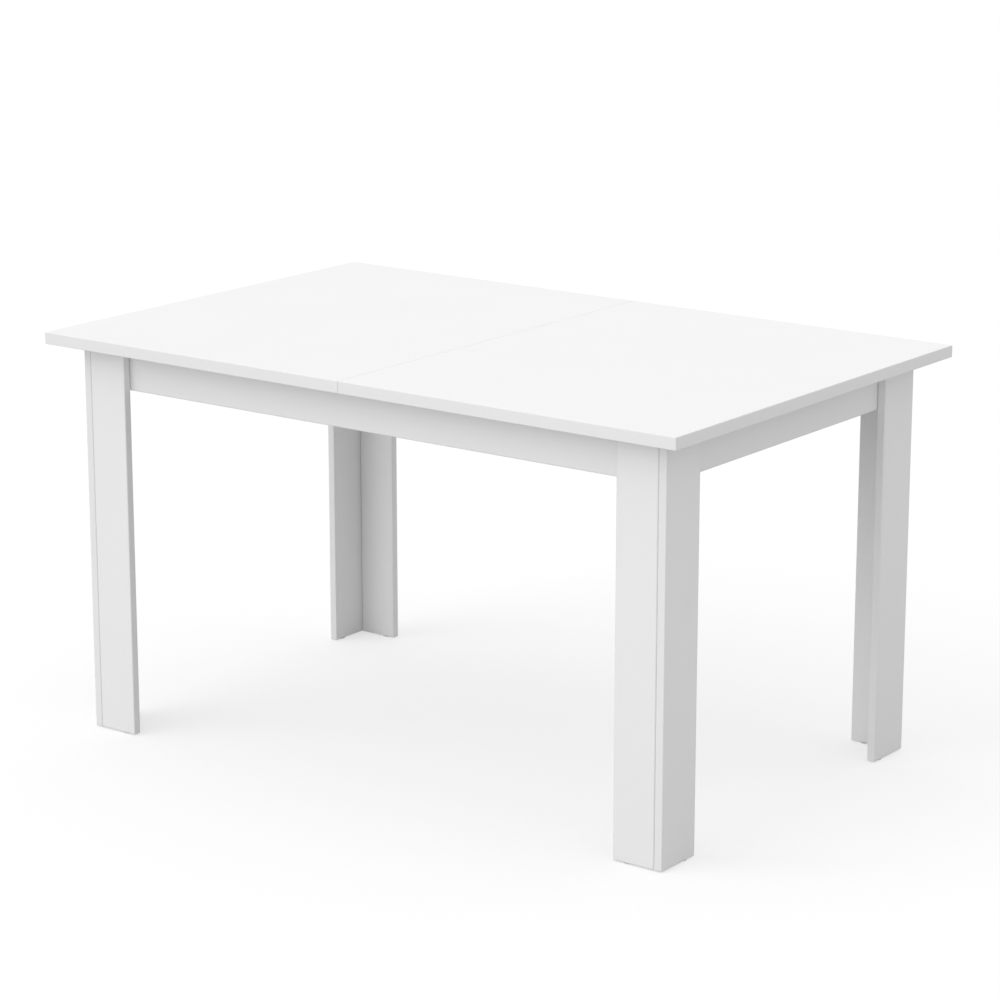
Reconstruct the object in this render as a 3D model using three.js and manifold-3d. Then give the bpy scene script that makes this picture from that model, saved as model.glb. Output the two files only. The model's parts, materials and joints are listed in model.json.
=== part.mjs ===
// Extendable dining table: two top halves slide apart on ball-bearing slides over a fixed frame of
// melamine-faced boards, and a loose insert leaf is stored on two rails inside that frame.
// Millimetres, +X along the table's length, +Y from front to rear, +Z up, origin on the floor at the centre.
import * as THREE from "three";
import { RoundedBoxGeometry } from "three/addons/geometries/RoundedBoxGeometry.js";
import { mergeVertices } from "three/addons/utils/BufferGeometryUtils.js";
import Module from "manifold-3d";

const wasm = await Module();
wasm.setup();

// ---- driving dimensions ----
const TABLE_LENGTH = 1400; // along X, closed
const TABLE_DEPTH = 900; // along Y
const TABLE_HEIGHT = 768;
const TOP_THICKNESS = 22;
const BOARD_THICKNESS = 16; // legs, aprons, rails and battens
const OVERHANG = 50; // top beyond the legs' outer faces
const LEG_WIDTH = 100; // each flange of the L, outside to end
const APRON_HEIGHT = 79;
const TOP_EDGE_RADIUS = 1; // softened arris of the edge banding on tops and leaf
const FRAME_EDGE_RADIUS = 2; // softened arris on legs and aprons
const RAIL_EDGE_RADIUS = 1;

const TRAVEL = 200; // each top half slides out this far
const SEAM_GAP = 0.4; // between the closed halves
const RUNNING_GAP = 1; // top halves above the frame
const JOINT_GAP = 0.3; // between pieces that are screwed together

const GLIDE_HEIGHT = 2;
const GLIDE_DIAMETER = 14;
const GLIDE_FROM_EDGE = 25; // glide's middle to the free edge of its leg board
const GLIDE_DOME = 0.5; // rounded rim of a glide

// ball-bearing slide, seen along X: depth from the apron's inner face, height about the slide's middle
const STEEL = 1.5;
const CHANNEL_HEIGHT = 36;
const CHANNEL_DEPTH = 10;
const CHANNEL_LIP = 1.8;
const CHANNEL_SCREW_HOLE = 5;
const CHANNEL_SCREW_PITCH = 160;
const SLIDE_BELOW_TOP = 3; // channel's upper face under the top's underside
const BALL_RADIUS = 1.8;
const BALL_CLEARANCE = 0.15;
const RUNNER_FROM_SEAM = 50; // runner's near end, closed
const RUNNER_END_CLEARANCE = 18; // runner's far end to the short apron, fully out
const RUNNER_BACKSET = 1.2; // runner's open side from the channel's web
const RUNNER_LIP = 1.3;
const RUNNER_PROUD = 1; // runner's web beyond the channel's lips
const CAGE_STEEL = 0.6;
const CAGE_GAP = 0.3;
const CAGE_MARGIN = 5; // cage stays this far inside channel and runner at both ends of the travel
const BALLS_PER_ROW = 5;
const BATTEN_BELOW_RUNNER = 2.7;

// insert leaf and its rails
const LEAF_WIDTH = 2 * TRAVEL;
const LEAF_PAD = { thickness: 1.5, width: 40, length: 360 }; // felt between leaf and rail
const LEAF_RAIL_WIDTH = 60;
const LEAF_RAIL_FROM_CENTRE = 280;

// alignment dowels between the halves and in the leaf
const DOWEL_DIAMETER = 8;
const DOWEL_LENGTH = 24;
const DOWEL_CLEARANCE = 0.3; // radial, and at the hole's end
const DOWEL_SPACING = 300;
const DOWEL_CHAMFER = 1;

// latches under the seam
const LATCH_HANDLE_CLEARANCE = 28; // handle to the batten when the lever lies across the table
const LATCH_PLATE = { length: 60, width: 28, thickness: 2, corner: 3 };
const LATCH_SCREW_HOLE = 4.5;
const LATCH_SCREW_FROM_EDGE = 6;
const LATCH_PIVOT_FROM_SEAM = 45;
const PIVOT_DIAMETER = 6;
const PIVOT_CLEARANCE = 0.3;
const PIVOT_HEAD = { diameter: 11, height: 1.5 };
const LEVER = { thickness: 2.5, width: 16, beyondStud: 9, handle: 40, tabHeight: 7, tabThickness: 2.5 };
const LEVER_OPEN_DEG = 75; // stored open, so the halves are free to slide
const STUD_DIAMETER = 6;
const STUD_FROM_SEAM = 22;
const STUD_CLEARANCE = 1; // throat of the hook around the stud
const KEEPER_PLATE = { length: 34, width: 24, thickness: 2, corner: 3 };

// angle brackets in the frame's corners
const BRACKET = { leg: 50, thickness: 2, bend: 2, hole: 5, aboveApronBottom: 3, belowBatten: 5 };

// ---- derived places ----
const halfLength = TABLE_LENGTH / 2;
const halfDepth = TABLE_DEPTH / 2;
const underside = TABLE_HEIGHT - TOP_THICKNESS;
const frameTop = underside - RUNNING_GAP;
const apronBottom = frameTop - APRON_HEIGHT;
const legOuterX = halfLength - OVERHANG;
const legOuterY = halfDepth - OVERHANG;
const apronOuterX = legOuterX - BOARD_THICKNESS - JOINT_GAP;
const apronOuterY = legOuterY - BOARD_THICKNESS - JOINT_GAP;
const apronInnerX = apronOuterX - BOARD_THICKNESS;
const apronInnerY = apronOuterY - BOARD_THICKNESS;
const slideMiddle = underside - SLIDE_BELOW_TOP - CHANNEL_HEIGHT / 2;
const channelInside = CHANNEL_HEIGHT / 2 - STEEL; // half height between the flanges
const channelFace = JOINT_GAP + CHANNEL_DEPTH; // outermost depth of the channel's lips
const runnerOutside = channelInside - 2 * (BALL_RADIUS + BALL_CLEARANCE);
const runnerBack = JOINT_GAP + STEEL + RUNNER_BACKSET;
const runnerFace = channelFace + RUNNER_PROUD + STEEL;
const runnerEnd = apronInnerX - RUNNER_END_CLEARANCE - TRAVEL; // closed
const channelHalfLength = runnerEnd + TRAVEL / 2; // the ball cage still lies inside it when fully out
const ballHeight = channelInside - BALL_RADIUS - BALL_CLEARANCE;
const ballDepth = (runnerBack + STEEL + channelFace - STEEL) / 2;
const battenFace = runnerFace + JOINT_GAP; // depth from the apron's inner face
const battenInner = apronInnerY - battenFace - BOARD_THICKNESS;
const battenBottom = slideMiddle - runnerOutside - BATTEN_BELOW_RUNNER;
const leafRailBottom = apronBottom + JOINT_GAP;
const leafRailTop = leafRailBottom + BOARD_THICKNESS;
const leafBottom = leafRailTop + LEAF_PAD.thickness + 2 * JOINT_GAP;
const latchFromCentre = battenInner - LEVER.handle - LATCH_HANDLE_CLEARANCE;
const dowelReach = DOWEL_LENGTH / 2;
const dowelPlaces = [-DOWEL_SPACING, 0, DOWEL_SPACING];

// ---- materials ----
const melamine = new THREE.MeshStandardMaterial({ color: 0xf4f4f2, roughness: 0.45, metalness: 0 });
const zincSteel = new THREE.MeshStandardMaterial({ color: 0xb9bcc0, roughness: 0.35, metalness: 1 });
const cageSteel = new THREE.MeshStandardMaterial({ color: 0x9a9da1, roughness: 0.3, metalness: 1 });
const whitePlastic = new THREE.MeshStandardMaterial({ color: 0xe9e9e6, roughness: 0.55, metalness: 0 });
const greyFelt = new THREE.MeshStandardMaterial({ color: 0xa9a9a6, roughness: 1, metalness: 0 });
const beech = new THREE.MeshStandardMaterial({ color: 0xd9b48a, roughness: 0.6, metalness: 0 });

// ---- helpers ----
const table = new THREE.Group();

function add(name, geometry, material) {
  const mesh = new THREE.Mesh(geometry, material);
  mesh.name = name;
  table.add(mesh);
  return mesh;
}

function toSolid(geometry) {
  const bare = geometry.index ? geometry.toNonIndexed() : geometry.clone();
  bare.deleteAttribute("normal");
  bare.deleteAttribute("uv");
  const merged = mergeVertices(bare, 1e-4);
  return new wasm.Manifold(
    new wasm.Mesh({
      numProp: 3,
      vertProperties: merged.attributes.position.array,
      triVerts: new Uint32Array(merged.index.array),
    }),
  );
}

function toGeometry(solid) {
  const mesh = solid.getMesh();
  const geometry = new THREE.BufferGeometry();
  geometry.setAttribute("position", new THREE.BufferAttribute(mesh.vertProperties, 3));
  geometry.setIndex(new THREE.BufferAttribute(mesh.triVerts, 1));
  return geometry;
}

function cut(geometry, ...tools) {
  return toGeometry(tools.reduce((left, tool) => left.subtract(toSolid(tool)), toSolid(geometry)));
}

function join(...geometries) {
  return toGeometry(geometries.map(toSolid).reduce((all, next) => all.add(next)));
}

function roundedRectangle(width, height, radius) {
  const x = width / 2;
  const y = height / 2;
  const shape = new THREE.Shape();
  shape.absarc(x - radius, y - radius, radius, 0, Math.PI / 2);
  shape.absarc(-x + radius, y - radius, radius, Math.PI / 2, Math.PI);
  shape.absarc(-x + radius, -y + radius, radius, Math.PI, 1.5 * Math.PI);
  shape.absarc(x - radius, -y + radius, radius, 1.5 * Math.PI, 2 * Math.PI);
  return shape;
}

// A board from its X, Y and Z spans, given in any order, with every arris softened.
function board(x, y, z, radius) {
  const spans = [x, y, z].map(([a, b]) => [Math.min(a, b), Math.max(a, b)]);
  const size = spans.map(([low, high]) => high - low);
  const middle = spans.map(([low, high]) => (low + high) / 2);
  return new RoundedBoxGeometry(...size, 1, radius).translate(...middle);
}

// A closed outline of [y, z] points carried along X from one end to the other.
function alongX(outline, start, end) {
  const shape = new THREE.Shape(outline.map(([y, z]) => new THREE.Vector2(y, z)));
  const geometry = new THREE.ExtrudeGeometry(shape, { depth: end - start, bevelEnabled: false });
  const basis = new THREE.Matrix4().makeBasis(
    new THREE.Vector3(0, 1, 0),
    new THREE.Vector3(0, 0, 1),
    new THREE.Vector3(1, 0, 0),
  );
  return geometry.applyMatrix4(basis).translate(start, 0, 0);
}

// A flat [x, y] shape made into a plate whose underside is at the given height.
function plate(shape, bottom, thickness) {
  const geometry = new THREE.ExtrudeGeometry(shape, {
    depth: thickness,
    bevelEnabled: false,
    curveSegments: 6,
  });
  return geometry.translate(0, 0, bottom);
}

function upright(radius, bottom, top) {
  const geometry = new THREE.CylinderGeometry(radius, radius, top - bottom, 16);
  return geometry.rotateX(Math.PI / 2).translate(0, 0, (bottom + top) / 2);
}

function between(a, b) {
  return [Math.min(a, b), Math.max(a, b)];
}

function box(x, y, z) {
  const [x0, x1] = between(...x);
  const [y0, y1] = between(...y);
  const geometry = new THREE.BoxGeometry(x1 - x0, y1 - y0, z[1] - z[0]);
  return geometry.translate((x0 + x1) / 2, (y0 + y1) / 2, (z[0] + z[1]) / 2);
}

// The sides of the table: the sign of X or Y, and the word in a node's name.
const ends = [[-1, "left"], [1, "right"]];
const sides = [[-1, "front"], [1, "rear"]];

// ---- frame: aprons, L-shaped legs, glides, brackets, leaf rails ----
function addAprons() {
  for (const [side, word] of sides) {
    const apron = board(
      [-apronOuterX, apronOuterX],
      [side * apronInnerY, side * apronOuterY],
      [apronBottom, frameTop],
      FRAME_EDGE_RADIUS,
    );
    add(`${word}_apron`, apron, melamine);
  }
  const shortEnd = apronInnerY - JOINT_GAP;
  for (const [end, word] of ends) {
    const apron = board(
      [end * apronInnerX, end * apronOuterX],
      [-shortEnd, shortEnd],
      [apronBottom, frameTop],
      FRAME_EDGE_RADIUS,
    );
    add(`${word}_apron`, apron, melamine);
  }
}

function glide(x, y) {
  const radius = GLIDE_DIAMETER / 2;
  const top = GLIDE_HEIGHT - JOINT_GAP;
  const profile = [
    [0, 0],
    [radius - GLIDE_DOME, 0],
    [radius, GLIDE_DOME],
    [radius, top],
    [0, top],
  ].map(([r, z]) => new THREE.Vector2(r, z));
  const turned = new THREE.LatheGeometry(profile, 16);
  return turned.rotateX(Math.PI / 2).translate(x, y, 0);
}

function addLegs() {
  for (const [side, sideWord] of sides) {
    for (const [end, endWord] of ends) {
      const leg = `${sideWord}_${endWord}_leg`;
      const legZ = [GLIDE_HEIGHT, frameTop];
      const sideBoard = board(
        [end * (legOuterX - BOARD_THICKNESS), end * legOuterX],
        [side * (legOuterY - LEG_WIDTH), side * legOuterY],
        legZ,
        FRAME_EDGE_RADIUS,
      );
      const faceBoard = board(
        [end * (legOuterX - LEG_WIDTH), end * (legOuterX - BOARD_THICKNESS - JOINT_GAP)],
        [side * (legOuterY - BOARD_THICKNESS), side * legOuterY],
        legZ,
        FRAME_EDGE_RADIUS,
      );
      add(`${leg}_side_board`, sideBoard, melamine);
      add(`${leg}_face_board`, faceBoard, melamine);

      const inThickness = BOARD_THICKNESS / 2;
      const fromCorner = LEG_WIDTH - GLIDE_FROM_EDGE;
      const sideGlide = glide(end * (legOuterX - inThickness), side * (legOuterY - fromCorner));
      const faceGlide = glide(end * (legOuterX - fromCorner), side * (legOuterY - inThickness));
      add(`${leg}_side_glide`, sideGlide, whitePlastic);
      add(`${leg}_face_glide`, faceGlide, whitePlastic);
    }
  }
}

function addCornerBrackets() {
  const { leg, thickness, bend, hole, aboveApronBottom, belowBatten } = BRACKET;
  const bottom = apronBottom + aboveApronBottom;
  const height = battenBottom - belowBatten - bottom;
  const shape = new THREE.Shape();
  shape.moveTo(leg, 0);
  shape.lineTo(leg, thickness);
  shape.lineTo(thickness + bend, thickness);
  shape.absarc(thickness + bend, thickness + bend, bend, 1.5 * Math.PI, Math.PI, true);
  shape.lineTo(thickness, leg);
  shape.lineTo(0, leg);
  shape.lineTo(0, thickness + bend);
  shape.absarc(thickness + bend, thickness + bend, thickness + bend, Math.PI, 1.5 * Math.PI, false);
  const bent = plate(shape, 0, height);
  const holes = [];
  for (const share of [0.45, 0.8]) {
    const through = new THREE.CylinderGeometry(hole / 2, hole / 2, 4 * thickness, 10);
    holes.push(through.clone().translate(share * leg, 0, height / 2));
    holes.push(through.clone().rotateZ(Math.PI / 2).translate(0, share * leg, height / 2));
  }
  const bracket = cut(bent, ...holes);
  for (const [side, sideWord] of sides) {
    for (const [end, endWord] of ends) {
      const mesh = add(`${sideWord}_${endWord}_corner_bracket`, bracket.clone(), zincSteel);
      mesh.position.set(
        end * (apronInnerX - JOINT_GAP),
        side * (apronInnerY - JOINT_GAP),
        bottom,
      );
      mesh.scale.set(-end, -side, 1);
    }
  }
}

function addLeafRails() {
  const reach = apronInnerY - JOINT_GAP;
  for (const [end, word] of ends) {
    const middle = end * LEAF_RAIL_FROM_CENTRE;
    const rail = board(
      [middle - LEAF_RAIL_WIDTH / 2, middle + LEAF_RAIL_WIDTH / 2],
      [-reach, reach],
      [leafRailBottom, leafRailTop],
      RAIL_EDGE_RADIUS,
    );
    add(`${word}_leaf_rail`, rail, melamine);

    const pad = new THREE.BoxGeometry(LEAF_PAD.width, LEAF_PAD.length, LEAF_PAD.thickness);
    const padMiddle = leafRailTop + JOINT_GAP + LEAF_PAD.thickness / 2;
    add(`${word}_leaf_pad`, pad.translate(middle, 0, padMiddle), greyFelt);
  }
}

// ---- ball-bearing slides ----
// Outlines are drawn as [depth, height] for the upper half and mirrored down.
function slideOutline(upperHalf, side) {
  const lowerHalf = upperHalf.map(([depth, height]) => [depth, -height]).reverse();
  return [...upperHalf, ...lowerHalf].map(([depth, height]) => [
    side * (apronInnerY - depth),
    slideMiddle + height,
  ]);
}

const channelHalf = [
  [JOINT_GAP, 0],
  [JOINT_GAP, CHANNEL_HEIGHT / 2],
  [channelFace, CHANNEL_HEIGHT / 2],
  [channelFace, channelInside - CHANNEL_LIP],
  [channelFace - STEEL, channelInside - CHANNEL_LIP],
  [channelFace - STEEL, channelInside],
  [JOINT_GAP + STEEL, channelInside],
  [JOINT_GAP + STEEL, 0],
];

const runnerHalf = [
  [runnerFace, 0],
  [runnerFace, runnerOutside],
  [runnerBack + STEEL, runnerOutside],
  [runnerBack + STEEL, runnerOutside + RUNNER_LIP],
  [runnerBack, runnerOutside + RUNNER_LIP],
  [runnerBack, runnerOutside - STEEL],
  [runnerFace - STEEL, runnerOutside - STEEL],
  [runnerFace - STEEL, 0],
];

const cageBack = JOINT_GAP + STEEL + CAGE_GAP;
const cageHalf = [
  [cageBack, 0],
  [cageBack, ballHeight + CAGE_STEEL / 2],
  [ballDepth + BALL_RADIUS, ballHeight + CAGE_STEEL / 2],
  [ballDepth + BALL_RADIUS, ballHeight - CAGE_STEEL / 2],
  [cageBack + CAGE_STEEL, ballHeight - CAGE_STEEL / 2],
  [cageBack + CAGE_STEEL, 0],
];

// Leaves out the two points that the mirroring would repeat on the middle line.
const withoutMiddle = (half) => half.filter(([, height]) => height !== 0);

function addSlides() {
  for (const [side, sideWord] of sides) {
    add(`${sideWord}_slide_channel`, slideChannel(side), zincSteel);
    for (const [end, endWord] of ends) {
      const name = `${sideWord}_${endWord}`;
      const span = between(end * RUNNER_FROM_SEAM, end * runnerEnd);
      const runner = alongX(slideOutline(withoutMiddle(runnerHalf), side), ...span);
      add(`${name}_slide_runner`, runner, zincSteel);
      add(`${name}_ball_cage`, ballCage(side, end), cageSteel);

      const batten = board(
        span,
        [side * (apronInnerY - battenFace), side * battenInner],
        [battenBottom, underside - JOINT_GAP],
        RAIL_EDGE_RADIUS,
      );
      add(`${name}_batten`, batten, melamine);
    }
  }
}

function slideChannel(side) {
  const outline = slideOutline(withoutMiddle(channelHalf), side);
  const channel = alongX(outline, -channelHalfLength, channelHalfLength);
  const web = side * (apronInnerY - JOINT_GAP - STEEL / 2);
  const pairs = Math.floor(channelHalfLength / CHANNEL_SCREW_PITCH - 0.5) + 1;
  const holes = [];
  for (let i = 0; i < pairs; i += 1) {
    for (const [end] of ends) {
      const hole = new THREE.CylinderGeometry(CHANNEL_SCREW_HOLE / 2, CHANNEL_SCREW_HOLE / 2, 2 * STEEL, 12);
      holes.push(hole.translate(end * (i + 0.5) * CHANNEL_SCREW_PITCH, web, slideMiddle));
    }
  }
  return cut(channel, ...holes);
}

// The cage moves half as far as its runner, so it must lie inside the runner at rest and inside
// both runner and channel when the half is out.
function ballCage(side, end) {
  const start = RUNNER_FROM_SEAM + TRAVEL / 2 + CAGE_MARGIN;
  const stop = Math.min(runnerEnd, channelHalfLength - TRAVEL / 2) - CAGE_MARGIN;
  const strip = alongX(slideOutline(withoutMiddle(cageHalf), side), ...between(end * start, end * stop));
  const balls = [];
  const pitch = (stop - start) / BALLS_PER_ROW;
  for (let i = 0; i < BALLS_PER_ROW; i += 1) {
    for (const row of [-1, 1]) {
      const ball = new THREE.SphereGeometry(BALL_RADIUS, 8, 4);
      const x = end * (start + (i + 0.5) * pitch);
      balls.push(ball.translate(x, side * (apronInnerY - ballDepth), slideMiddle + row * ballHeight));
    }
  }
  return join(strip, ...balls);
}

// ---- top halves, insert leaf and their dowels ----
function dowelHole(x, y, z, turn) {
  const hole = new THREE.CylinderGeometry(
    DOWEL_DIAMETER / 2 + DOWEL_CLEARANCE,
    DOWEL_DIAMETER / 2 + DOWEL_CLEARANCE,
    2 * (dowelReach + DOWEL_CLEARANCE),
    16,
  );
  return turn(hole).translate(x, y, z);
}

function dowel(x, y, z, turn) {
  const radius = DOWEL_DIAMETER / 2;
  const profile = [
    [0, -dowelReach],
    [radius - DOWEL_CHAMFER, -dowelReach],
    [radius, -dowelReach + DOWEL_CHAMFER],
    [radius, dowelReach - DOWEL_CHAMFER],
    [radius - DOWEL_CHAMFER, dowelReach],
    [0, dowelReach],
  ].map(([r, h]) => new THREE.Vector2(r, h));
  return turn(new THREE.LatheGeometry(profile, 16)).translate(x, y, z);
}

const lieAlongX = (geometry) => geometry.rotateZ(Math.PI / 2);
const lieAlongY = (geometry) => geometry;

function addTops() {
  const middle = underside + TOP_THICKNESS / 2;
  const holes = dowelPlaces.map((y) => dowelHole(0, y, middle, lieAlongX));
  for (const [end, word] of ends) {
    const half = board(
      [(end * SEAM_GAP) / 2, end * halfLength],
      [-halfDepth, halfDepth],
      [underside, TABLE_HEIGHT],
      TOP_EDGE_RADIUS,
    );
    add(`${word}_top`, cut(half, ...holes), melamine);
  }
  dowelPlaces.forEach((y, i) => add(`seam_dowel_${i + 1}`, dowel(0, y, middle, lieAlongX), beech));
}

// The leaf lies turned by a quarter, its long edges along X, so that it fits between the aprons.
function addLeaf() {
  const middle = leafBottom + TOP_THICKNESS / 2;
  const edge = LEAF_WIDTH / 2;
  const leaf = board(
    [-halfDepth, halfDepth],
    [-edge, edge],
    [leafBottom, leafBottom + TOP_THICKNESS],
    TOP_EDGE_RADIUS,
  );
  const holes = [-edge, edge].flatMap((y) => dowelPlaces.map((x) => dowelHole(x, y, middle, lieAlongY)));
  add("insert_leaf", cut(leaf, ...holes), melamine);
  dowelPlaces.forEach((x, i) => add(`leaf_dowel_${i + 1}`, dowel(x, edge, middle, lieAlongY), beech));
}

// ---- latches under the seam ----
const plateBottom = underside - JOINT_GAP - LATCH_PLATE.thickness;
const leverTop = plateBottom - PIVOT_CLEARANCE;
const leverBottom = leverTop - LEVER.thickness;
const studReach = LATCH_PIVOT_FROM_SEAM + STUD_FROM_SEAM; // pivot to stud

function leverShape() {
  const half = LEVER.width / 2;
  const tip = studReach + LEVER.beyondStud;
  const throat = STUD_DIAMETER / 2 + STUD_CLEARANCE;
  const nose = 4; // rounded corner of the hook
  const shape = new THREE.Shape();
  shape.moveTo(-LEVER.handle, -half);
  shape.lineTo(studReach - throat, -half);
  shape.lineTo(studReach - throat, 0);
  shape.absarc(studReach, 0, throat, Math.PI, 0, true);
  shape.lineTo(studReach + throat, -half);
  shape.lineTo(tip, -half);
  shape.lineTo(tip, half - nose);
  shape.absarc(tip - nose, half - nose, nose, 0, Math.PI / 2, false);
  shape.lineTo(-LEVER.handle, half);
  const hole = new THREE.Path();
  hole.absarc(0, 0, PIVOT_DIAMETER / 2 + PIVOT_CLEARANCE, 0, 2 * Math.PI, true);
  shape.holes.push(hole);
  return shape;
}

function latchLever() {
  const arm = plate(leverShape(), leverBottom, LEVER.thickness);
  const half = LEVER.width / 2;
  const tab = box(
    [-LEVER.handle, -LEVER.handle + LEVER.tabThickness],
    [-half, half],
    [leverBottom - LEVER.tabHeight, leverTop],
  );
  return join(arm, tab);
}

function latchPivot() {
  const shank = upright(PIVOT_DIAMETER / 2, leverBottom - PIVOT_CLEARANCE, plateBottom - PIVOT_CLEARANCE / 2);
  const headTop = leverBottom - PIVOT_CLEARANCE;
  const head = upright(PIVOT_HEAD.diameter / 2, headTop - PIVOT_HEAD.height, headTop);
  return join(shank, head);
}

// A rounded plate with a screw hole at each of the given places, flat against the top's underside.
function screwedPlate({ length, width, thickness, corner }, places) {
  const shape = roundedRectangle(length, width, corner);
  for (const [x, y] of places) {
    const hole = new THREE.Path();
    hole.absarc(x, y, LATCH_SCREW_HOLE / 2, 0, 2 * Math.PI, true);
    shape.holes.push(hole);
  }
  return plate(shape, underside - JOINT_GAP - thickness, thickness);
}

function keeper() {
  const holeX = KEEPER_PLATE.length / 2 - LATCH_SCREW_FROM_EDGE;
  const flat = screwedPlate(KEEPER_PLATE, [[-holeX, 0], [holeX, 0]]);
  const bottom = underside - JOINT_GAP - KEEPER_PLATE.thickness;
  const stud = upright(STUD_DIAMETER / 2, leverBottom - PIVOT_CLEARANCE, bottom + KEEPER_PLATE.thickness / 2);
  return join(flat, stud);
}

function addLatches() {
  const holeX = LATCH_PLATE.length / 2 - LATCH_SCREW_FROM_EDGE;
  const holeY = LATCH_PLATE.width / 2 - LATCH_SCREW_FROM_EDGE;
  const corners = [-holeX, holeX].flatMap((x) => [[x, -holeY], [x, holeY]]);
  const basePlate = screwedPlate(LATCH_PLATE, corners);
  for (const [side, word] of sides) {
    const y = side * latchFromCentre;
    add(`${word}_latch_plate`, basePlate.clone(), zincSteel).position.set(-LATCH_PIVOT_FROM_SEAM, y, 0);
    add(`${word}_latch_pivot`, latchPivot(), zincSteel).position.set(-LATCH_PIVOT_FROM_SEAM, y, 0);
    add(`${word}_latch_keeper`, keeper(), zincSteel).position.set(STUD_FROM_SEAM, y, 0);

    // The hook's throat faces away from the table's middle, so the rear lever is the front one mirrored.
    const lever = add(`${word}_latch_lever`, latchLever(), zincSteel);
    lever.position.set(-LATCH_PIVOT_FROM_SEAM, y, 0);
    lever.scale.set(1, -side, 1);
    lever.rotation.z = -side * THREE.MathUtils.degToRad(LEVER_OPEN_DEG);
  }
}

addAprons();
addLegs();
addCornerBrackets();
addLeafRails();
addSlides();
addTops();
addLeaf();
addLatches();

export default table;
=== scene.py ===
import json
from math import radians

import bmesh
import bpy
from bpy.props import FloatProperty, FloatVectorProperty, IntProperty, PointerProperty
from mathutils import Matrix, Vector


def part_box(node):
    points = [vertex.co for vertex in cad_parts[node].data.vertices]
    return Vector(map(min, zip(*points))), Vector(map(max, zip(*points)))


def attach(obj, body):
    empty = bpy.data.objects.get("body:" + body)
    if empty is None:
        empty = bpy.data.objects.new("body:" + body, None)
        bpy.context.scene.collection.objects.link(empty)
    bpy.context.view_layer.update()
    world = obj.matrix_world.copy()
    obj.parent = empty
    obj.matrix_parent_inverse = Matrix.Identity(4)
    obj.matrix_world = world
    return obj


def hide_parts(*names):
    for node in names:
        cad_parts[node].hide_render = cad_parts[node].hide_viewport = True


bl_info = {
    "name": "Extendable dining table",
    "version": (1, 0, 0),
    "blender": (4, 5, 0),
    "location": "3D View > Sidebar > Table",
    "description": "Finished boards, slides, latches and fittings of a table that extends at the middle",
    "category": "Add Mesh",
}

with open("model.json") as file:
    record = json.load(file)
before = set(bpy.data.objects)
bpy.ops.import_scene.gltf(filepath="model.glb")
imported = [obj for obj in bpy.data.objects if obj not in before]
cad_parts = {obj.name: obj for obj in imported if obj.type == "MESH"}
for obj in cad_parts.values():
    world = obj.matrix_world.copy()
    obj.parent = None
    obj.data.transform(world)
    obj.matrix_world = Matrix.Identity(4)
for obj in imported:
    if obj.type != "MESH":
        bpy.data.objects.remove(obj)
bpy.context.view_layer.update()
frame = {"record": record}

MM = 0.001
NEAR = 0.01 * MM  # places closer than this are the same place
FLAT = 0.999  # a face looks along an axis when its normal has at least this much of it
SLIDE_HOLE = 2.6 * MM  # radii of the screw holes in the sheet-metal parts
BRACKET_HOLE = 2.5 * MM
PLATE_HOLE = 2.3 * MM
SLIDE_BURR = 0.15 * MM  # how far cut edges of steel are rounded when they are deburred
STAMPED_BURR = 0.2 * MM
LEVER_BURR = 0.25 * MM
STRIP_BURR = 0.06 * MM
CAGE_BEND = 0.8 * MM  # fold radii of the thin strip and of the latch lever
LEVER_BEND = 2 * MM
BRACKET_CORNER = 4 * MM  # roundings of the corners in the flat of the sheet
PLATE_CORNER = 3 * MM
LEVER_NOSE = 4 * MM
PIVOT_PLAY = 0.3 * MM  # between the lever's hole and the rivet's shank


def linear(hex_colour):
    """An sRGB hex colour as linear red, green and blue."""
    channels = (int(hex_colour[i : i + 2], 16) / 255 for i in (1, 3, 5))
    return tuple(c / 12.92 if c <= 0.04045 else ((c + 0.055) / 1.055) ** 2.4 for c in channels)


# ---- what a user would change ----


class BoardSettings(bpy.types.PropertyGroup):
    face_colour: FloatVectorProperty(
        name="Face colour",
        description="Colour of the melamine facing",
        subtype="COLOR", min=0, max=1, default=linear("#F0F0F0"),
    )
    band_colour: FloatVectorProperty(
        name="Edging colour",
        description="Colour of the plastic edging, matched to the facing",
        subtype="COLOR", min=0, max=1, default=linear("#EDEDED"),
    )
    top_edge_radius: FloatProperty(
        name="Top edge radius",
        description="Rounding of the edging on the top halves and the leaf",
        unit="LENGTH", subtype="DISTANCE", default=1 * MM,
    )
    frame_edge_radius: FloatProperty(
        name="Frame edge radius",
        description="Rounding of the edging on legs and aprons",
        unit="LENGTH", subtype="DISTANCE", default=2 * MM,
    )
    rail_edge_radius: FloatProperty(
        name="Rail edge radius",
        description="Rounding of the battens and leaf rails",
        unit="LENGTH", subtype="DISTANCE", default=1 * MM,
    )
    band_line_inset: FloatProperty(
        name="Edging joint inset",
        description="From the rounded edge to the joint between edging and facing",
        unit="LENGTH", subtype="DISTANCE", default=0.4 * MM,
    )
    band_line_width: FloatProperty(
        name="Edging joint width",
        description="Width of each slope of the scraped joint line",
        unit="LENGTH", subtype="DISTANCE", default=0.1 * MM,
    )
    band_line_depth: FloatProperty(
        name="Edging joint depth",
        description="Depth of the scraped joint line",
        unit="LENGTH", subtype="DISTANCE", default=0.06 * MM,
    )
    socket_clearance: FloatProperty(
        name="Dowel socket clearance",
        description="Radial room round a dowel in its socket",
        unit="LENGTH", subtype="DISTANCE", default=0.3 * MM,
    )


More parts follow.
